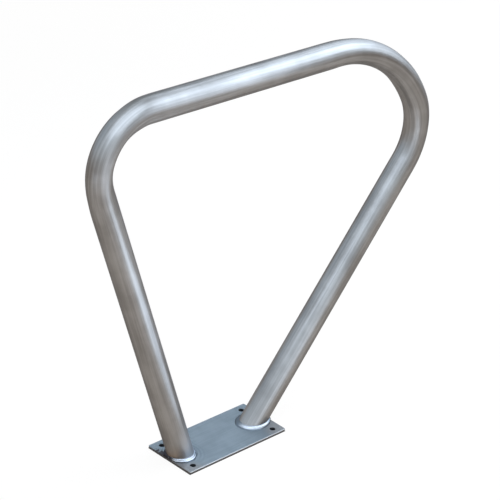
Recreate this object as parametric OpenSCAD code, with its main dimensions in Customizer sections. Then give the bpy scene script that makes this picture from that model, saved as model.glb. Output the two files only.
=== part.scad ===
// Bike parking stand: one bent tube hoop, welded by its two feet to a flat base plate
// with four anchor holes. Millimetres, +Z up, the hoop stands in the XZ plane.
// The origin is the centre of the underside of the base plate.

/* [Hoop] */
// Outer diameter of the tube
tube_od = 48.3; // [42.4:0.1:50]
// Wall of the tube
tube_wall = 3.2; // [2:0.1:5]
// Height of the top of the hoop above the underside of the plate
hoop_height = 730; // [660:5:850]
// Angle of the left leg from upright
left_lean = 21; // [15:0.5:28]
// Angle of the right leg from upright
right_lean = 38.5; // [32:0.5:39.5]
// Centreline radius of the left bend
left_bend_r = 96; // [75:1:140]
// Centreline radius of the wide part of the right bend, next to the top bar
right_wide_r = 270; // [200:5:300]
// Angle that the wide part of the right bend turns through
right_wide_turn = 60; // [40:1:75]
// Centreline radius of the tight part of the right bend, next to the right leg
right_tight_r = 115; // [90:1:150]

/* [Base plate] */
// Length of the plate along the hoop
plate_l = 240; // [236:1:300]
// Width of the plate
plate_w = 112; // [108:1:160]
// Thickness of the plate
plate_t = 5; // [4:0.5:10]
// Radius of the plate's corners
plate_corner_r = 3; // [1:0.5:8]

/* [Anchor holes] */
// Diameter of the four anchor holes
hole_d = 11; // [9:0.5:12]
// Distance from the end of the plate to the centre of a hole
hole_end_gap = 20; // [16:0.5:24]
// Distance from the long side of the plate to the centre of a hole
hole_side_gap = 14.5; // [12:0.5:15]

/* [Feet] */
// Distance from the left end of the plate to the tube
left_foot_gap = 2.5; // [1.5:0.5:10]
// Distance from the right end of the plate to the tube
right_foot_gap = 0.7; // [0.5:0.1:6]
// Diameter of the vent hole in the plate under each foot
vent_d = 14; // [8:1:30]

/* [Welds] */
// Width of a weld on the plate, on the open side of the leaning leg
weld_open_w = 4.5; // [3:0.5:6]
// Width of a weld on the plate, all round the rest of the foot
weld_w = 6.5; // [4:0.5:7]
// Height of a weld on the tube
weld_h = 6; // [3:0.5:8]
// Bulge of the rounded face of a weld
weld_bulge = 1.2; // [0.5:0.1:2]

/* [Hidden] */

// The tube and the plate are round and exact, and the welds have this many sides.
$fn = 96;
weld_sides = 60;
// How far a weld's section starts inside the tube's wall before the tube is cut from it
weld_root = 1;
// How far a cutting solid runs past what it cuts
past = 10;
// Bending draws the tube a hair thinner, and a stretch of tube laps this far over the next
bend_thin = 0.1;
bend_lap = 2;

tube_r = tube_od / 2;
bore_r = tube_r - tube_wall;
bar_z = hoop_height - tube_r;
rise = bar_z - plate_t;

// Where each leg's centreline meets the top of the plate
left_foot_x = -(plate_l / 2 - left_foot_gap - tube_r / cos(left_lean));
right_foot_x = plate_l / 2 - right_foot_gap - tube_r / cos(right_lean);

// Left bend: a single arc from the top bar to the left leg
left_turn = 90 + left_lean;
left_tangent = left_bend_r * tan(left_turn / 2);
left_bend_x = left_foot_x - rise * tan(left_lean) + left_tangent;
left_leg_len = rise / cos(left_lean) - left_tangent;

// Right bend: a wide arc from the top bar, then a tight arc to the right leg
right_turn = 90 + right_lean;
tight_turn = right_turn - right_wide_turn;
join_angle = 90 - right_wide_turn;
tight_off_x = (right_wide_r - right_tight_r) * cos(join_angle);
tight_off_z = (right_wide_r - right_tight_r) * sin(join_angle);
wide_z = bar_z - right_wide_r;
tight_z = wide_z + tight_off_z;
right_leg_rise = tight_z - right_tight_r * sin(right_lean) - plate_t;
right_leg_len = right_leg_rise / cos(right_lean);
tight_x = right_foot_x + right_leg_rise * tan(right_lean) - right_tight_r * cos(right_lean);
wide_x = tight_x - tight_off_x;

// Bend of radius bend_r as a round bar of radius r, its centreline an arc in the XZ plane
module bend_bar(r, x, z, bend_r, start, turn) {
    translate([x, 0, z])
        rotate([90, 0, 0])
            rotate([0, 0, start])
                rotate_extrude(angle = turn)
                    translate([bend_r, 0])
                        circle(r);
}

// Straight bar of radius r that leaves a foot at the leg's angle and also runs below it
module leg_bar(r, x, lean, len, below) {
    translate([x, 0, plate_t])
        rotate([0, lean, 0])
            translate([0, 0, -below])
                cylinder(r = r, h = len + below);
}

// Round bar of radius r along the whole hoop, with its feet run on below the plate's top.
// Each stretch laps a little way over the next, tighter one, whose bar is a hair thinner.
module hoop_bar(r) {
    lap_turn = bend_lap / right_wide_r * 180 / PI;
    leg_bar(r, left_foot_x, -left_lean, left_leg_len + bend_lap, tube_od);
    bend_bar(r - bend_thin, left_bend_x, bar_z - left_bend_r, left_bend_r, 90, left_turn);
    translate([left_bend_x - bend_lap, 0, bar_z])
        rotate([0, 90, 0])
            cylinder(r = r, h = wide_x - left_bend_x + 2 * bend_lap);
    bend_bar(r - bend_thin, wide_x, wide_z, right_wide_r, join_angle - lap_turn, right_wide_turn + lap_turn);
    bend_bar(r - 2 * bend_thin, tight_x, tight_z, right_tight_r, -right_lean, tight_turn);
    leg_bar(r, right_foot_x, right_lean, right_leg_len + bend_lap, tube_od);
}

// All that lies below the top of the plate
module below_plate_top() {
    translate([-plate_l, -plate_w, plate_t - 2 * tube_od])
        cube([2 * plate_l, 2 * plate_w, 2 * tube_od]);
}

// One bent tube, its feet cut flat to stand on the plate
module hoop_tube() {
    color([0.66, 0.68, 0.70])
        difference() {
            hoop_bar(tube_r);
            hoop_bar(bore_r);
            below_plate_top();
        }
}

// Flat plate with round corners
module plate_blank() {
    in_x = plate_l / 2 - plate_corner_r;
    in_y = plate_w / 2 - plate_corner_r;
    translate([-in_x, -plate_w / 2, 0])
        cube([2 * in_x, plate_w, plate_t]);
    translate([-plate_l / 2, -in_y, 0])
        cube([plate_l, 2 * in_y, plate_t]);
    for (x = [-in_x, in_x], y = [-in_y, in_y])
        translate([x, y, 0])
            cylinder(r = plate_corner_r, h = plate_t);
}

// Four anchor holes near the corners, and a vent under each foot into the tube
module base_plate() {
    hole_x = plate_l / 2 - hole_end_gap;
    hole_y = plate_w / 2 - hole_side_gap;
    color([0.50, 0.57, 0.62])
        difference() {
            plate_blank();
            for (x = [-hole_x, hole_x], y = [-hole_y, hole_y])
                translate([x, y, -past])
                    cylinder(d = hole_d, h = plate_t + 2 * past);
            for (x = [left_foot_x, right_foot_x])
                translate([x, 0, -past])
                    cylinder(d = vent_d, h = plate_t + 2 * past);
        }
}

// Weld round a foot: its section is carried round the oval where the tube meets the plate.
// out is +1 where the leg leans to +X and -1 where it leans to -X.
function oval(foot_x, lean, a) = [foot_x + tube_r / cos(lean) * cos(a), tube_r * sin(a)];
function oval_normal(lean, a) =
    let (n = [cos(lean) * cos(a), sin(a)])
    n / norm(n);
function weld_width(out, a) = weld_w + (weld_open_w - weld_w) * (1 - out * cos(a)) / 2;
function on_plate(x) = max(-plate_l / 2, min(plate_l / 2, x));
function weld_section(foot_x, lean, a) =
    let (
        out = sign(lean),
        c = oval(foot_x, lean, a),
        n = oval_normal(lean, a),
        w = weld_width(out, a),
        toe = [on_plate(c[0] + w * n[0]), c[1] + w * n[1], plate_t],
        top = [c[0] + weld_h * tan(lean), c[1], plate_t + weld_h],
        face = top - toe,
        along = face[0] * n[0] + face[1] * n[1],
        push = [n[0] * face[2], n[1] * face[2], -along],
        crown = (toe + top) / 2 + weld_bulge * push / norm(push),
        root = weld_root * [n[0], n[1], 0]
    )
    [[c[0], c[1], plate_t] - root, toe, crown, top - root];

module foot_weld(foot_x, lean) {
    points = [
        for (i = [0 : weld_sides - 1])
            each weld_section(foot_x, lean, i * 360 / weld_sides)
    ];
    faces = [
        for (i = [0 : weld_sides - 1], j = [0 : 3])
            let (
                k = (i + 1) % weld_sides,
                m = (j + 1) % 4
            )
            each [
                [4 * i + j, 4 * k + m, 4 * i + m],
                [4 * i + j, 4 * k + j, 4 * k + m]
            ]
    ];
    difference() {
        polyhedron(points = points, faces = faces, convexity = 6);
        leg_bar(tube_r, foot_x, lean, tube_od, tube_od);
    }
}

module left_foot_weld() {
    color([0.80, 0.82, 0.85])
        foot_weld(left_foot_x, -left_lean);
}

module right_foot_weld() {
    color([0.80, 0.82, 0.85])
        foot_weld(right_foot_x, right_lean);
}

hoop_tube();
base_plate();
left_foot_weld();
right_foot_weld();
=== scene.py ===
"""Bike parking stand: one steel tube bent into a lopsided hoop, welded to a flat plate.

Metres, +Z up. The hoop stands in the XZ plane and the plate's underside is at Z = 0.
"""

import math

import bmesh
import bpy
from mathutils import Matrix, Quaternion, Vector


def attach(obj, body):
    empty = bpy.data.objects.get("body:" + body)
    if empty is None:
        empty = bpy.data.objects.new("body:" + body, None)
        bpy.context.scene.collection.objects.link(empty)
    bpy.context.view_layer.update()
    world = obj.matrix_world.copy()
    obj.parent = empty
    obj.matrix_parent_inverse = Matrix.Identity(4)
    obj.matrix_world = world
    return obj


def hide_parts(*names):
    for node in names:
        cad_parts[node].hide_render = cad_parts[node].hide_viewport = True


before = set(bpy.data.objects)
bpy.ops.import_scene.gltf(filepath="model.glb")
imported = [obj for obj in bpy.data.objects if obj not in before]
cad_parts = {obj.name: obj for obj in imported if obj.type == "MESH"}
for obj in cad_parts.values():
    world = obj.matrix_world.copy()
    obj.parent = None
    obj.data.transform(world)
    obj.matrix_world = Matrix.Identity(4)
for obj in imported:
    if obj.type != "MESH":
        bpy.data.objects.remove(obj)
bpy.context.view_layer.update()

MM = 0.001

# The hoop and the plate, with the sizes of the CAD model. Only PLATE_EDGE, the width of the
# plate's broken edges, isn't in it.
TUBE_R = 24.15 * MM
WALL = 3.2 * MM
HOOP_HEIGHT = 730 * MM
LEFT_LEAN = math.radians(21)
RIGHT_LEAN = math.radians(38.5)
LEFT_BEND_R = 96 * MM
WIDE_BEND_R = 270 * MM
WIDE_TURN = math.radians(60)
TIGHT_BEND_R = 115 * MM

PLATE_L = 240 * MM
PLATE_W = 112 * MM
PLATE_T = 5 * MM
PLATE_CORNER_R = 3 * MM
PLATE_EDGE = 1 * MM
HOLE_R = 5.5 * MM
HOLE_X = 100 * MM
HOLE_Y = 41.5 * MM
VENT_R = 7 * MM

# From the plate's ends to the tube, and where the feet stand
LEFT_FOOT_GAP = 2.5 * MM
RIGHT_FOOT_GAP = 0.7 * MM
LEFT_FOOT_X = -(PLATE_L / 2 - LEFT_FOOT_GAP - TUBE_R / math.cos(LEFT_LEAN))
RIGHT_FOOT_X = PLATE_L / 2 - RIGHT_FOOT_GAP - TUBE_R / math.cos(RIGHT_LEAN)


# The hoop's centreline


class Straight:
    """A straight stretch of the hoop, in the XZ plane."""

    def __init__(self, start, way, length):
        self.start, self.way, self.length = Vector(start), Vector(way), length
        self.out = Vector((-self.way.y, self.way.x))

    def unbend(self, place):
        """Distance along the stretch, distance outwards and the way outwards."""
        from_start = place - self.start
        return from_start.dot(self.way), from_start.dot(self.out), self.out


class Bend:
    """A clockwise arc of the hoop, in the XZ plane."""

    def __init__(self, centre, radius, start_angle, turn):
        self.centre, self.radius = Vector(centre), radius
        self.start_angle, self.turn = start_angle, turn
        self.length = radius * turn

    def unbend(self, place):
        """Distance along the stretch, distance outwards and the way outwards."""
        spoke = place - self.centre
        swept = (self.start_angle - math.atan2(spoke.y, spoke.x) + math.pi) % math.tau
        return (swept - math.pi) * self.radius, spoke.length - self.radius, spoke.normalized()


def hoop_stretches():
    """The hoop from the left foot to the right foot."""
    bar_z = HOOP_HEIGHT - TUBE_R
    rise = bar_z - PLATE_T
    left_turn = math.pi / 2 + LEFT_LEAN
    tangent = LEFT_BEND_R * math.tan(left_turn / 2)
    left_bend_x = LEFT_FOOT_X - rise * math.tan(LEFT_LEAN) + tangent
    join = math.pi / 2 - WIDE_TURN
    step = WIDE_BEND_R - TIGHT_BEND_R
    tight_z = bar_z - WIDE_BEND_R + step * math.sin(join)
    leg_rise = tight_z - TIGHT_BEND_R * math.sin(RIGHT_LEAN) - PLATE_T
    leg_top_x = RIGHT_FOOT_X + leg_rise * math.tan(RIGHT_LEAN)
    tight_x = leg_top_x - TIGHT_BEND_R * math.cos(RIGHT_LEAN)
    wide_x = tight_x - step * math.cos(join)
    up_left = (-math.sin(LEFT_LEAN), math.cos(LEFT_LEAN))
    down_left = (-math.sin(RIGHT_LEAN), -math.cos(RIGHT_LEAN))
    return [
        Straight((LEFT_FOOT_X, PLATE_T), up_left, rise / math.cos(LEFT_LEAN) - tangent),
        Bend((left_bend_x, bar_z - LEFT_BEND_R), LEFT_BEND_R, math.pi / 2 + left_turn, left_turn),
        Straight((left_bend_x, bar_z), (1, 0), wide_x - left_bend_x),
        Bend((wide_x, bar_z - WIDE_BEND_R), WIDE_BEND_R, math.pi / 2, WIDE_TURN),
        Bend((tight_x, tight_z), TIGHT_BEND_R, join, join + RIGHT_LEAN),
        Straight((leg_top_x, PLATE_T + leg_rise), down_left, leg_rise / math.cos(RIGHT_LEAN)),
    ]


HOOP = hoop_stretches()
HOOP_STARTS = [sum(s.length for s in HOOP[:i]) for i in range(len(HOOP))]
LEFT_BEND, WIDE_BEND, TIGHT_BEND = 1, 3, 4  # where the bends are in HOOP


def unbend(place):
    """Where a point of the bent tube was on the straight tube: distance along, distance outwards,
    and the way outwards now."""
    found = []
    for stretch, start in zip(HOOP, HOOP_STARTS):
        along, out, way = stretch.unbend(place)
        past = max(-along, along - stretch.length, 0)
        found.append((past + abs(out), start + along, out, way))
    return min(found, key=lambda f: f[0])[1:]


def ease(low, high, value):
    """0 below low, 1 above high, and smooth between them."""
    t = min(max((value - low) / (high - low), 0), 1)
    return t * t * (3 - 2 * t)


# Helpers for modelling


def deselect_all():
    for o in bpy.context.selected_objects:
        o.select_set(False)


def named(name):
    """Names the object just added and its mesh."""
    piece = bpy.context.object
    piece.name = piece.data.name = name
    return piece


def edit_mode(on):
    bpy.ops.object.mode_set(mode="EDIT" if on else "OBJECT")


def select_edges(piece, wanted):
    """In edit mode, selects only the edges that wanted(edge) picks."""
    bpy.ops.mesh.select_mode(type="EDGE")
    bpy.ops.mesh.select_all(action="DESELECT")
    mesh = bmesh.from_edit_mesh(piece.data)
    for edge in mesh.edges:
        if wanted(edge):
            edge.select_set(True)
    bmesh.update_edit_mesh(piece.data)


def apply_modifier(piece, kind, **settings):
    modifier = piece.modifiers.new(kind.title(), kind)
    for name, value in settings.items():
        setattr(modifier, name, value)
    bpy.context.view_layer.objects.active = piece
    bpy.ops.object.modifier_apply(modifier=modifier.name)


def settle(piece):
    """Puts the finished object at the origin, unturned and unscaled, with its place in its mesh."""
    deselect_all()
    piece.select_set(True)
    bpy.context.view_layer.objects.active = piece
    bpy.ops.object.transform_apply(location=True, rotation=True, scale=True)
    return piece


def stands_for(piece, node, material):
    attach(piece, "root")
    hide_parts(node)
    piece.data.materials.clear()
    piece.data.materials.append(material)


# The bent tube

TUBE_SIDES = 72
STRAIGHT_STEP = 12 * MM
BEND_STEP = 4 * MM
# How far each foot runs on below the plate's top before it is cut off there
FOOT_SPARE = 40 * MM
MERGE_WITHIN = 0.01 * MM
SHARP_ANGLE = math.radians(40)

# A bent tube flattens in the bend's plane. Each span is a bend, the side of the tube that
# flattens, how far after the bend's start and how far before its end the flattening is half way
# in and half way out, and the share of the tube's radius that is lost there.
OUTER, INNER, BOTH = 1, -1, 0
FLAT_SPANS = (
    (LEFT_BEND, OUTER, -4 * MM, 16 * MM, 0.18),
    (LEFT_BEND, INNER, 30 * MM, 52 * MM, 0.21),
    (WIDE_BEND, BOTH, 10 * MM, 75 * MM, 0.06),
    (TIGHT_BEND, BOTH, 45 * MM, 15 * MM, 0.05),
)
FLAT_EASE = 30 * MM


def flatness(along, out):
    """The share of the tube's radius lost in the hoop's plane, at a distance along and outwards."""
    flat = 0
    for i, side, after, before, most in FLAT_SPANS:
        if side * out < 0:
            continue
        start, end = HOOP_STARTS[i] + after, HOOP_STARTS[i] + HOOP[i].length - before
        into = ease(start - FLAT_EASE, start + FLAT_EASE, along)
        out_of = ease(end - FLAT_EASE, end + FLAT_EASE, along)
        flat += most * (into - out_of)
    return flat


def sweep_tube():
    """Draws the tube's skin: the selected circle is extruded and spun along the hoop."""
    for stretch in HOOP:
        if isinstance(stretch, Straight):
            spare = FOOT_SPARE if stretch in (HOOP[0], HOOP[-1]) else 0
            length = stretch.length + spare
            steps = round(length / STRAIGHT_STEP)
            step = stretch.way * length / steps
            for _ in range(steps):
                bpy.ops.mesh.extrude_region_move(
                    TRANSFORM_OT_translate={"value": (step.x, 0, step.y)}
                )
        else:
            bpy.ops.mesh.spin(
                steps=round(stretch.length / BEND_STEP),
                angle=stretch.turn,
                center=(stretch.centre.x, 0, stretch.centre.y),
                axis=(0, -1, 0),
            )


def bent_tube():
    """One tube, bent, with its feet cut flat on the plate's top. Its unbent attribute says where
    each place was on the straight tube: along it, across the hoop's plane and outwards."""
    deselect_all()
    leg = HOOP[0]
    foot = leg.start - leg.way * FOOT_SPARE
    bpy.ops.mesh.primitive_circle_add(
        vertices=TUBE_SIDES,
        radius=TUBE_R,
        location=(foot.x, 0, foot.y),
        rotation=(0, -LEFT_LEAN, 0),
    )
    piece = settle(named("bent_tube"))
    edit_mode(True)
    bpy.ops.mesh.select_all(action="SELECT")
    sweep_tube()
    bpy.ops.mesh.select_all(action="SELECT")
    bpy.ops.mesh.remove_doubles(threshold=MERGE_WITHIN)
    bpy.ops.mesh.normals_make_consistent(inside=False)
    edit_mode(False)
    for vertex in piece.data.vertices:
        along, out, way = unbend(Vector((vertex.co.x, vertex.co.z)))
        flat = flatness(along, out)
        vertex.co.x -= way.x * out * flat
        vertex.co.z -= way.y * out * flat
    apply_modifier(piece, "SOLIDIFY", thickness=WALL, offset=-1, use_even_offset=True)
    edit_mode(True)
    bpy.ops.mesh.select_all(action="SELECT")
    bpy.ops.mesh.bisect(plane_co=(0, 0, PLATE_T), plane_no=(0, 0, 1), clear_inner=True)
    for side in (-1, 1):
        select_edges(piece, lambda edge: edge.is_boundary and edge.verts[0].co.x * side > 0)
        bpy.ops.mesh.bridge_edge_loops()
    bpy.ops.mesh.select_all(action="SELECT")
    bpy.ops.mesh.normals_make_consistent(inside=False)
    edit_mode(False)
    unbent = piece.data.attributes.new("unbent", "FLOAT_VECTOR", "POINT")
    for vertex, value in zip(piece.data.vertices, unbent.data):
        along, out, _ = unbend(Vector((vertex.co.x, vertex.co.z)))
        value.vector = (along, vertex.co.y, out)
    bpy.ops.object.shade_smooth_by_angle(angle=SHARP_ANGLE)
    return settle(piece)


# The plate

HOLE_SIDES = 64
CORNER_SEGMENTS = 8
EDGE_SEGMENTS = 3


def cut_hole(piece, x, y, radius):
    """Cuts a round hole right through the plate."""
    deselect_all()
    bpy.ops.mesh.primitive_cylinder_add(
        vertices=HOLE_SIDES, radius=radius, depth=4 * PLATE_T, location=(x, y, PLATE_T / 2)
    )
    drill = named("drill")
    apply_modifier(piece, "BOOLEAN", operation="DIFFERENCE", object=drill, solver="EXACT")
    bpy.data.objects.remove(drill)


def plate():
    """The base plate, with round corners, broken edges, four anchor holes and two vents."""
    deselect_all()
    bpy.ops.mesh.primitive_cube_add(
        size=1, location=(0, 0, PLATE_T / 2), scale=(PLATE_L, PLATE_W, PLATE_T)
    )
    piece = settle(named("plate"))
    edit_mode(True)
    select_edges(piece, lambda edge: abs(edge.verts[0].co.z - edge.verts[1].co.z) > PLATE_T / 2)
    bpy.ops.mesh.bevel(offset=PLATE_CORNER_R, segments=CORNER_SEGMENTS, affect="EDGES")
    edit_mode(False)
    for x in (-HOLE_X, HOLE_X):
        for y in (-HOLE_Y, HOLE_Y):
            cut_hole(piece, x, y, HOLE_R)
    for x in (LEFT_FOOT_X, RIGHT_FOOT_X):
        cut_hole(piece, x, 0, VENT_R)
    for face in piece.data.polygons:
        face.use_smooth = True
    apply_modifier(
        piece,
        "BEVEL",
        width=PLATE_EDGE,
        segments=EDGE_SEGMENTS,
        limit_method="ANGLE",
        angle_limit=SHARP_ANGLE,
        harden_normals=True,
    )
    return settle(piece)


# The welds

WELD_SEGMENTS = 240
WELD_SIDES = 24
# A weld's width on the plate, its width there on the open side of the leaning leg, and its
# height on the tube
WELD_W = 6.5 * MM
WELD_OPEN_W = 4.5 * MM
WELD_H = 6 * MM
# How far a weld reaches into the tube's wall, and into the plate
WELD_ROOT = 1 * MM
WELD_SINK = 0.2 * MM
# The share of a section's points that lies on its open face
WELD_FACE = 0.62
# The width of the groove between two runs, as a share of the open face
GROOVE_W = 0.12
# The side of each foot that carries a painted highlight, as an angle from +X towards +Y
LEFT_HIGHLIGHT_SIDE = math.radians(-128)
RIGHT_HIGHLIGHT_SIDE = math.radians(-121)
# How far up the open face the painted shade at the toe reaches, and from where the face can take
# the painted highlight
TOE_SHADED, TOE_LIT = 0.04, 0.3
WELD_SHARP_ANGLE = math.radians(60)


def weld_section(foot_x, lean, around, share, look):
    """A point of the weld: around is the angle round the foot and share goes round its section,
    first up the open face from the plate to the tube and then back inside them."""
    out = math.copysign(1, lean)
    ring = Vector((foot_x + TUBE_R / math.cos(lean) * math.cos(around), TUBE_R * math.sin(around)))
    away = Vector((math.cos(lean) * math.cos(around), math.sin(around))).normalized()
    width, height, bulge = look(around)
    width += (WELD_OPEN_W - WELD_W) * (1 - out * math.cos(around)) / 2
    toe = Vector((*(ring + away * width), PLATE_T))
    toe.x = max(-PLATE_L / 2 + PLATE_EDGE, min(PLATE_L / 2 - PLATE_EDGE, toe.x))
    top = Vector((ring.x + height * math.tan(lean), ring.y, PLATE_T + height))
    inward = Vector((-away.x, -away.y, 0)) * WELD_ROOT
    if share < WELD_FACE:
        t = share / WELD_FACE
        face = top - toe
        normal = Vector((away.x * face.z, away.y * face.z, -face.x * away.x - face.y * away.y))
        return toe + face * t + normal.normalized() * bulge(t)
    t = (share - WELD_FACE) / (1 - WELD_FACE)
    corner = Vector((*ring, PLATE_T - WELD_SINK)) + inward
    if t < 0.5:
        return (top + inward).lerp(corner, t * 2)
    return corner.lerp(toe - Vector((0, 0, WELD_SINK)), t * 2 - 1)


def crown(height):
    """One smooth round face."""
    return lambda t: height * math.sin(math.pi * t)


def two_ridges(height, groove):
    """Two runs side by side: a round face with a groove along its middle."""
    return lambda t: (
        height * math.sin(math.pi * t) - groove * math.exp(-(((t - 0.5) / GROOVE_W) ** 2))
    )


def ripples(around, pitch_deg, depth):
    """The ripples that a moving weld pool leaves: round ridges with sharp valleys between."""
    t = math.degrees(around) / pitch_deg % 1
    return depth * (math.sin(math.pi * t) ** 0.7 - 0.6)


def smooth_look(around):
    """The right foot's weld, one smooth run with faint ripples: its width, height and bulge."""
    uneven = 0.25 * MM * math.sin(3 * around + 0.6) + 0.15 * MM * math.sin(7 * around)
    width = WELD_W + uneven + ripples(around, 6, 0.15 * MM)
    height = WELD_H + 0.3 * MM * math.sin(2 * around + 1)
    return width, height, crown(1.3 * MM + ripples(around, 6, 0.2 * MM))


def uneven_look(around):
    """The left foot's weld, two uneven runs with coarse ripples: its width, height and bulge."""
    uneven = 0.5 * MM * math.sin(4 * around + 2) + 0.3 * MM * math.sin(9 * around + 1)
    width = WELD_W + uneven + ripples(around, 5, 0.3 * MM)
    height = WELD_H + 0.6 * MM * math.sin(3 * around + 2.2)
    return width, height, two_ridges(1.5 * MM + ripples(around, 5, 0.35 * MM), 0.9 * MM)


def foot_weld(name, foot_x, lean, highlight_side, look):
    """A ring of weld metal, carried round the oval where the tube meets the plate. Its ground
    attribute is a painted highlight, 1 on the foot's front side and less away from it, with painted
    shade at the toe."""
    deselect_all()
    bpy.ops.mesh.primitive_torus_add(
        major_segments=WELD_SEGMENTS,
        minor_segments=WELD_SIDES,
        major_radius=TUBE_R,
        minor_radius=WELD_W / 2,
    )
    piece = settle(named(name))
    ground = piece.data.attributes.new("ground", "FLOAT", "POINT")
    for vertex, value in zip(piece.data.vertices, ground.data):
        around = math.atan2(vertex.co.y, vertex.co.x)
        off = math.hypot(vertex.co.x, vertex.co.y) - TUBE_R
        share = (math.atan2(vertex.co.z, off) / math.tau) % 1
        # Painted shade along the toe, and a painted highlight on the front that fades away round
        # the foot
        off_toe = ease(TOE_SHADED, TOE_LIT, share / WELD_FACE)
        value.value = math.cos(around - highlight_side) - 1 + off_toe
        vertex.co = weld_section(foot_x, lean, around, share, look)
    edit_mode(True)
    bpy.ops.mesh.select_all(action="SELECT")
    bpy.ops.mesh.normals_make_consistent(inside=False)
    edit_mode(False)
    bpy.ops.object.shade_smooth_by_angle(angle=WELD_SHARP_ANGLE)
    return settle(piece)


# The finishes


class Wire:
    """One output of a material's nodes. Plain Python maths on it adds Math nodes."""

    def __init__(self, finish, socket):
        self.finish, self.socket = finish, socket

    def __add__(self, other):
        return self.finish.maths("ADD", self, other)

    def __radd__(self, other):
        return self.finish.maths("ADD", other, self)

    def __sub__(self, other):
        return self.finish.maths("SUBTRACT", self, other)

    def __rsub__(self, other):
        return self.finish.maths("SUBTRACT", other, self)

    def __mul__(self, other):
        return self.finish.maths("MULTIPLY", self, other)

    def __rmul__(self, other):
        return self.finish.maths("MULTIPLY", other, self)

    def __truediv__(self, other):
        return self.finish.maths("DIVIDE", self, other)


class Finish:
    """A material, or the world, whose nodes are added one by one."""

    def __init__(self, owner):
        self.tree = owner.node_tree
        self.tree.nodes.clear()

    def node(self, kind, settings=None, sockets=None, output=0):
        """Adds a node, sets it up, fills or links its sockets and returns one of its outputs."""
        made = self.tree.nodes.new("ShaderNode" + kind)
        for name, value in (settings or {}).items():
            setattr(made, name, value)
        for name, value in (sockets or {}).items():
            if isinstance(value, Wire):
                self.tree.links.new(value.socket, made.inputs[name])
            else:
                made.inputs[name].default_value = value
        return Wire(self, made.outputs[output]) if made.outputs else None

    def maths(self, operation, *values):
        return self.node("Math", {"operation": operation}, dict(enumerate(values)))

    def vector_maths(self, operation, *values, output="Vector"):
        return self.node("VectorMath", {"operation": operation}, dict(enumerate(values)), output)

    def object_place(self):
        return self.node("TexCoord", output="Object")

    def attribute(self, name, output="Vector"):
        return self.node("Attribute", {"attribute_name": name}, output=output)

    def stretched(self, vector, scale):
        return self.vector_maths("MULTIPLY", vector, scale)

    def shifted(self, vector, origin):
        """The vector as counted from another origin."""
        return self.vector_maths("SUBTRACT", vector, origin)

    def length(self, vector):
        return self.vector_maths("LENGTH", vector, output="Value")

    def part(self, vector, axis):
        return self.node("SeparateXYZ", sockets={0: vector}, output="XYZ".index(axis))

    def noise(self, vector, scale=1, detail=2):
        """Soft noise around 0.5."""
        sockets = {"Vector": vector, "Scale": scale, "Detail": detail}
        return self.node("TexNoise", sockets=sockets)

    def spread(self, value, low, high, to_low=0, to_high=1):
        """Carries low..high over to to_low..to_high, smoothly and no further. Where low is above
        high, it falls as the value rises."""
        return self.node(
            "MapRange",
            {"interpolation_type": "SMOOTHSTEP"},
            {"Value": value, 1: low, 2: high, 3: to_low, 4: to_high},
        )

    def blend(self, share, first, second):
        """Goes from the first colour to the second."""
        colours = {
            key: (*colour, 1) if isinstance(colour, tuple) else colour
            for key, colour in ((6, first), (7, second))
        }
        return self.node("Mix", {"data_type": "RGBA"}, {0: share, **colours}, output=2)

    def bump(self, height, distance):
        return self.node("Bump", sockets={"Height": height, "Distance": distance, "Strength": 1.0})

    def ray(self, kind):
        """1 for rays of this kind, such as Camera, and 0 for all others."""
        return self.node("LightPath", output=f"Is {kind} Ray")

    def mixed(self, share, first, second):
        """Goes from the first shader to the second."""
        return self.node("MixShader", sockets={0: share, 1: first, 2: second})

    def surface(self, **sockets):
        """Ends a material with a Principled shader. A _ in a name stands for a space."""
        names = {key.replace("_", " "): value for key, value in sockets.items()}
        shader = self.node("BsdfPrincipled", sockets=names)
        self.node("OutputMaterial", sockets={"Surface": shader})


def new_material(name):
    material = bpy.data.materials.new(name)
    material.use_nodes = True
    return material, Finish(material)


# Colours of the tube, the plate and the welds
TUBE_DARK = (0.21, 0.198, 0.187)
TUBE_PALE = (0.315, 0.30, 0.285)
TUBE_HEATED = (0.27, 0.21, 0.165)
# A painted highlight, low on the left leg's inner front side
TUBE_PAINTED_HIGHLIGHT = (0.42, 0.42, 0.43)
PLATE_DARK = (0.168, 0.196, 0.214)
PLATE_PALE = (0.212, 0.243, 0.26)
PLATE_CORNER_GREY = (0.22, 0.212, 0.205)
PLATE_HEATED = (0.12, 0.15, 0.175)
# The colour of the painted highlight along the plate's front rim
PLATE_RIM_HIGHLIGHT = (0.52, 0.52, 0.52)
# The colour of the painted shade on the plate's sides
PLATE_SHADED_SIDES = (0.085, 0.08, 0.078)
WELD_DULL = (0.14, 0.16, 0.18)
# The colour of the painted highlight on each weld's front
WELD_HIGHLIGHT = (0.36, 0.365, 0.38)
SOOT = (0.05, 0.045, 0.05)
# What each metal mirrors where it is seen at a shallow angle
STEEL_EDGE = (0.42, 0.42, 0.43, 1)
WELD_EDGE = (0.6, 0.6, 0.62, 1)

# How fine the streaks are along the tube, across the hoop's plane and outwards, and how fine the
# plate's rolling lines are along X, Y and Z
TUBE_STREAKS = (6, 260, 260)
TUBE_SCRATCHES = (45, 1500, 1500)
PLATE_LINES = (14, 320, 60)
# How fine the soft clouds, the blotches and the grain of each metal are
TUBE_CLOUDS, PLATE_CLOUDS = 22, 28
BLOTCHES = 260
TUBE_GRAIN, PLATE_GRAIN, WELD_GRAIN = 900, 1200, 1100

# How far up the tube from its left foot the heat tint and the painted highlight reach: where each
# is full and where it has gone, and how much the clouds move these places
HEAT_FULL, HEAT_GONE = 8 * MM, 55 * MM
HIGHLIGHT_FULL, HIGHLIGHT_GONE = 25 * MM, 90 * MM
TUBE_WANDER = 40 * MM
# The plate's greyer front corners: how far out they start and where they are full
GREY_FROM, GREY_FULL = 92 * MM, 128 * MM
GREY_WANDER = 30 * MM
# Heat rings on the plate: how far from the left foot's middle they are full and where they end,
# and their spacing
RINGS_FULL, RINGS_GONE = 34 * MM, 52 * MM
RING_WAVE = 1.1 * MM
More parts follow.
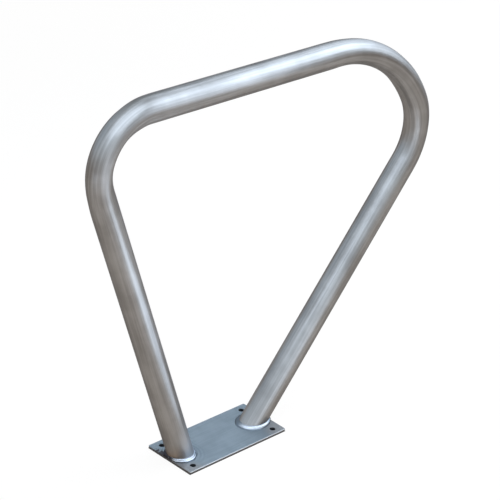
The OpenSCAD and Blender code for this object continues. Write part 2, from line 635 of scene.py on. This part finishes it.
# The painted highlight along the front rim: how far in from the front edge it is full and where it
# ends
RIM_FULL, RIM_GONE = 0.7 * MM, 1.6 * MM
# The soot by the left foot: its middle, and half its size along X and Y
SOOT_PLACE = (-118 * MM, 14 * MM, PLATE_T)
SOOT_X, SOOT_Y = 10 * MM, 22 * MM


def tube_steel():
    """Bare satin tube: drawn streaks along it, faint cloudy patches, a heat tint by its left foot,
    and a painted highlight low on that leg's inner front side."""
    material, finish = new_material("tube_steel")
    unbent = finish.attribute("unbent")
    place = finish.object_place()
    streaks = finish.noise(finish.stretched(unbent, TUBE_STREAKS), detail=3)
    scratches = finish.noise(finish.stretched(unbent, TUBE_SCRATCHES))
    clouds = finish.noise(place, TUBE_CLOUDS, detail=3)
    grain = finish.noise(place, TUBE_GRAIN)
    tone = finish.spread(streaks * 0.6 + clouds * 0.4, 0.32, 0.68)
    colour = finish.blend(tone, TUBE_DARK, TUBE_PALE)
    along = finish.part(unbent, "X") + TUBE_WANDER * (clouds - 0.5)
    outer_side = finish.spread(finish.part(unbent, "Z"), -8 * MM, 12 * MM)
    heat = finish.spread(along, HEAT_GONE, HEAT_FULL) * outer_side
    colour = finish.blend(heat, colour, TUBE_HEATED)
    inner_front = -0.6 * finish.part(unbent, "Z") - 0.8 * finish.part(unbent, "Y")
    inner_front_side = finish.spread(inner_front, 8 * MM, 20 * MM)
    # Painted highlight: the left leg's highlight carried down to its foot, on the inner front side
    painted_highlight = finish.spread(along, HIGHLIGHT_GONE, HIGHLIGHT_FULL) * inner_front_side
    colour = finish.blend(painted_highlight, colour, TUBE_PAINTED_HIGHLIGHT)
    finish.surface(
        Base_Color=colour,
        Metallic=1.0,
        Roughness=0.30 + 0.16 * streaks + 0.06 * clouds,
        Specular_Tint=STEEL_EDGE,
        Normal=finish.bump(scratches * 0.6 + grain * 0.4, 0.005 * MM),
    )
    return material


def sooty(finish, place, blotches):
    """How sooty the left foot's weld and the plate beside it are, by place: 0 clean, 1 black."""
    beside = finish.stretched(finish.shifted(place, SOOT_PLACE), (1 / SOOT_X, 1 / SOOT_Y, 0))
    return finish.spread(finish.length(beside) + 2.2 * (blotches - 0.5), 1.15, 0.75)


def plate_steel():
    """Bluish satin plate: faint rolling lines along it, greyer near its front corners, painted
    shade on its sides, a painted highlight along its front rim, and soot and faint heat rings round
    the left foot."""
    material, finish = new_material("plate_steel")
    place = finish.object_place()
    lines = finish.noise(finish.stretched(place, PLATE_LINES), detail=3)
    clouds = finish.noise(place, PLATE_CLOUDS, detail=3)
    blotches = finish.noise(place, BLOTCHES)
    grain = finish.noise(place, PLATE_GRAIN)
    x, y, z = (finish.part(place, axis) for axis in "XYZ")
    tone = finish.spread(lines * 0.4 + clouds * 0.6, 0.32, 0.68)
    colour = finish.blend(tone, PLATE_DARK, PLATE_PALE)
    # Greyer towards the front corners
    to_corner = finish.maths("ABSOLUTE", x) - 0.5 * y
    corner_grey = finish.spread(to_corner + GREY_WANDER * (clouds - 0.5), GREY_FROM, GREY_FULL)
    colour = finish.blend(corner_grey, colour, PLATE_CORNER_GREY)
    off_foot = finish.length(finish.shifted(place, (LEFT_FOOT_X, 0, 0)))
    waves = finish.maths("SINE", off_foot / RING_WAVE)
    right_of_foot = finish.spread(x, LEFT_FOOT_X, LEFT_FOOT_X + 30 * MM)
    near = finish.spread(off_foot, RINGS_GONE, RINGS_FULL) * right_of_foot
    colour = finish.blend(near * (0.3 + 0.3 * waves), colour, PLATE_HEATED)
    colour = finish.blend(sooty(finish, place, blotches), colour, SOOT)
    # A painted highlight along the front rim
    rim_highlight = finish.spread(y, RIM_GONE - PLATE_W / 2, RIM_FULL - PLATE_W / 2)
    colour = finish.blend(rim_highlight, colour, PLATE_RIM_HIGHLIGHT)
    # Painted shade on the plate's sides, below the broken top edge
    upper = finish.spread(z, PLATE_T - 1.8 * PLATE_EDGE, PLATE_T - 0.9 * PLATE_EDGE)
    colour = finish.blend(upper, PLATE_SHADED_SIDES, colour)
    finish.surface(
        Base_Color=colour,
        Metallic=0.55,
        Roughness=0.36 + 0.12 * clouds,
        Specular_Tint=STEEL_EDGE,
        Normal=finish.bump(grain, 0.02 * MM),
    )
    return material


def weld_metal():
    """Weld metal: dull, with a painted highlight on the front of each foot and painted shade at its
    toe, and sooty on the left foot's outside.
    """
    material, finish = new_material("weld_metal")
    place = finish.object_place()
    blotches = finish.noise(place, BLOTCHES)
    grain = finish.noise(place, WELD_GRAIN)
    # Painted highlight on the front of each weld, from the ground attribute
    ground = finish.spread(finish.attribute("ground", "Fac") + 0.4 * (blotches - 0.5), 0.2, 0.8)
    colour = finish.blend(ground, WELD_DULL, WELD_HIGHLIGHT)
    colour = finish.blend(sooty(finish, place, blotches), colour, SOOT)
    finish.surface(
        Base_Color=colour,
        Metallic=1.0,
        Roughness=0.28 + 0.2 * blotches,
        Specular_Tint=WELD_EDGE,
        Normal=finish.bump(grain, 0.04 * MM),
    )
    return material


# The camera, the light and the floor

# The photograph's camera. HALF_PIXEL shifts its frame, as a share of the frame's width.
VIEW_AZIMUTH = math.radians(-46.44)
VIEW_ELEVATION = math.radians(26.69)
VIEW_ROLL = math.radians(4.81)
VIEW_TARGET = Vector((0.04505, 0, 0.37371))
VIEW_DISTANCE = 3.5132
LENS = 144
HALF_PIXEL = 0.001

# Colours of the light and of what the metal mirrors
WHITE = (1, 1, 1, 1)
WARM = (1.0, 0.93, 0.85, 1)
SKY_LOW = (0.95, 0.96, 0.98)
SKY_HIGH = (0.79, 0.90, 1.0)
COOL = (0.68, 0.82, 1.0)
PALE_BLUE = (0.6, 0.77, 1.0)
BLUE = (0.35, 0.62, 1.0)
# How bright the surroundings are as light, and how much of the mirrored sky gives way to that
# dim light in its darker patch
DIM = 0.25
PATCH = 0.8
# A lamp's power for each square metre of it and each unit of radiance
LAMP_POWER = 4

# Soft boxes: the name, the point that each one faces, its azimuth and elevation as seen from that
# point, how far off it stands, its width and height, its radiance and its colour
LAMPS = (
    ("overhead_lamp", (0, 0, 0.5), (-142, 70), 2.4, (3.0, 2.5), 2.7, COOL),
    ("key_lamp", (0.03, 0, 0.6), (0, 29), 2.2, (2.7, 2.2), 2.5, COOL),
    ("high_lamp", (0.03, 0, 0.6), (-25, 39), 2.1, (1.6, 1.0), 2.6, COOL),
    ("bar_panel", (0.3, -0.54, 0.86), (0, 0), 0, (0.54, 0.5), 2.7, COOL),
    ("fill_lamp", (0.1, 0, 0.4), (-165, 36), 2.6, (5.0, 1.7), 0.35, COOL),
    ("back_lamp", (0.1, 0, 0.4), (118, 24), 2.6, (2.4, 1.6), 0.3, BLUE),
    ("front_lamp", (0, 0, 0.26), (-118, 16), 1.8, (1.4, 0.6), 0.9, COOL),
    ("near_panel", (0, -0.56, 0.17), (0, 0), 0, (0.92, 0.3), 1.9, PALE_BLUE),
    ("low_panel", (0.1, -0.45, 0.15), (-90, 0), 0, (0.3, 0.28), 1.5, COOL),
)
# Upright panels in front of the hoop, which are mirrored in the metal and light nothing. Like
# every soft box they show from one side only, so a panel is mirrored by one stretch of the tube
# and not by its neighbour.
PANELS = ("bar_panel", "near_panel", "low_panel")
# Cards that lie on the floor and shine upwards: the name, the place, the size along X and Y and
# the radiance
CARDS = (
    ("far_card", (-1.0, -1.65), (2.0, 0.9), 3.4),
    ("left_card", (-2.2, -0.2), (0.9, 1.6), 2.2),
)
CARD_HEIGHT = 0.01

FLOOR_SIZE = 60
FLOOR_DROP = 0.2 * MM
FLOOR_MATT = (0.70, 0.62, 0.54, 1)
FLOOR_SHADOW = (0.01, 0.015, 0.02, 1)
FLOOR_WARM = (1.0, 0.88, 0.76, 1)
# How bright the floor's own glow is, and how much of what the camera sees beside the stand is a
# white glow. From GLOW_NEAR outwards it takes over, and past GLOW_FAR it is all that shows.
FLOOR_WHITE = 1.04
FLOOR_GLOW = 0.88
GLOW_NEAR, GLOW_FAR = 1.5, 4.0
# How much of the floor's mirrored look is a warm glow of its own
MIRRORED_GLOW = 0.36


def direction(azimuth, elevation):
    """Unit vector at an azimuth from +X towards +Y and an elevation, in degrees."""
    a, e = math.radians(azimuth), math.radians(elevation)
    return Vector((math.cos(a) * math.cos(e), math.sin(a) * math.cos(e), math.sin(e)))


def camera():
    """Looks from where the photograph was taken, held a little askew."""
    back = Vector(
        (
            math.sin(VIEW_AZIMUTH) * math.cos(VIEW_ELEVATION),
            -math.cos(VIEW_AZIMUTH) * math.cos(VIEW_ELEVATION),
            math.sin(VIEW_ELEVATION),
        )
    )
    data = bpy.data.cameras.new("camera")
    data.lens = LENS
    data.shift_x, data.shift_y = -HALF_PIXEL, HALF_PIXEL
    cam = bpy.data.objects.new("camera", data)
    bpy.context.scene.collection.objects.link(cam)
    cam.location = VIEW_TARGET + back * VIEW_DISTANCE
    cam.rotation_mode = "QUATERNION"
    level = (-back).to_track_quat("-Z", "Y")
    cam.rotation_quaternion = level @ Quaternion((0, 0, 1), VIEW_ROLL)
    bpy.context.scene.camera = cam


def soft_box(name, aim, way, distance, size, radiance, colour):
    """A soft box, size wide and high, that stands some way off from a point and faces it."""
    data = bpy.data.lights.new(name, "AREA")
    data.shape = "RECTANGLE"
    data.size, data.size_y = size
    data.energy = radiance * LAMP_POWER * data.size * data.size_y
    data.color = colour
    lamp = bpy.data.objects.new(name, data)
    lamp.visible_camera = False
    bpy.context.scene.collection.objects.link(lamp)
    back = direction(*way)
    lamp.location = Vector(aim) + back * distance
    lamp.rotation_mode = "QUATERNION"
    lamp.rotation_quaternion = back.to_track_quat("Z", "Y")
    return lamp


def surroundings():
    """White to the camera, dim and warm as light, and to what mirrors them a pale sky, bluer high
    up and darker in a patch low down between +X and -Y."""
    world = bpy.data.worlds.new("studio")
    world.use_nodes = True
    bpy.context.scene.world = world
    finish = Finish(world)
    way = finish.node("TexCoord", output="Generated")
    height = finish.part(way, "Z")
    sideways = 0.7 * finish.part(way, "X") - 0.7 * finish.part(way, "Y")
    patch = finish.spread(sideways, 0.85, 0.98) * finish.spread(height, 0.3, 0.15)
    tint = finish.blend(finish.spread(height, -0.05, 0.35), SKY_LOW, SKY_HIGH)
    dim = finish.node("Background", sockets={"Color": WARM, "Strength": DIM})
    sky = finish.node("Background", sockets={"Color": tint, "Strength": 1})
    white = finish.node("Background", sockets={"Color": WHITE, "Strength": 1})
    around = finish.mixed(finish.ray("Glossy") * (1 - PATCH * patch), dim, sky)
    around = finish.mixed(finish.ray("Camera"), around, white)
    finish.node("OutputWorld", sockets={"Surface": around})


def light():
    """The surroundings, and the soft boxes that draw the highlights along the tube."""
    surroundings()
    for name, *settings in LAMPS:
        lamp = soft_box(name, *settings)
        lamp.visible_diffuse = name not in PANELS
    for name, place, size, radiance in CARDS:
        card = soft_box(name, (*place, CARD_HEIGHT), (0, -90), 0, size, radiance, COOL)
        card.rotation_quaternion = Quaternion((1, 0, 0), math.pi)


def floor():
    """A pale floor that shows near white and keeps a soft shadow. Under the plate its shadow is
    painted dark.
    """
    deselect_all()
    bpy.ops.mesh.primitive_plane_add(size=FLOOR_SIZE, location=(0, 0, -FLOOR_DROP))
    ground = settle(named("floor"))
    material, finish = new_material("pale_floor")
    place = finish.object_place()
    off_x, off_y = (finish.maths("ABSOLUTE", finish.part(place, axis)) for axis in "XY")
    past_end = finish.maths("GREATER_THAN", off_x, PLATE_L / 2)
    past_side = finish.maths("GREATER_THAN", off_y, PLATE_W / 2)
    uncovered = finish.maths("MAXIMUM", past_end, past_side)
    matt = finish.node("BsdfDiffuse", sockets={"Color": FLOOR_MATT})
    # Painted shadow under the plate, which the holes show
    dark = finish.node("BsdfDiffuse", sockets={"Color": FLOOR_SHADOW})
    warm = finish.node("Emission", sockets={"Color": FLOOR_WARM, "Strength": FLOOR_WHITE})
    white = finish.node("Emission", sockets={"Color": WHITE, "Strength": FLOOR_WHITE})
    pale = finish.mixed(finish.ray("Glossy") * MIRRORED_GLOW, matt, warm)
    shown = finish.spread(finish.length(place), GLOW_NEAR, GLOW_FAR, FLOOR_GLOW, 1)
    pale = finish.mixed(finish.ray("Camera") * shown, pale, white)
    surface = finish.mixed(uncovered, dark, pale)
    finish.node("OutputMaterial", sockets={"Surface": surface})
    ground.data.materials.append(material)


camera()
light()
floor()

stands_for(bent_tube(), "hoop_tube", tube_steel())
stands_for(plate(), "base_plate", plate_steel())
weld_finish = weld_metal()
stands_for(
    foot_weld("left_weld", LEFT_FOOT_X, -LEFT_LEAN, LEFT_HIGHLIGHT_SIDE, uneven_look),
    "left_foot_weld",
    weld_finish,
)
stands_for(
    foot_weld("right_weld", RIGHT_FOOT_X, RIGHT_LEAN, RIGHT_HIGHLIGHT_SIDE, smooth_look),
    "right_foot_weld",
    weld_finish,
)

bpy.context.scene.view_settings.view_transform = "Standard"
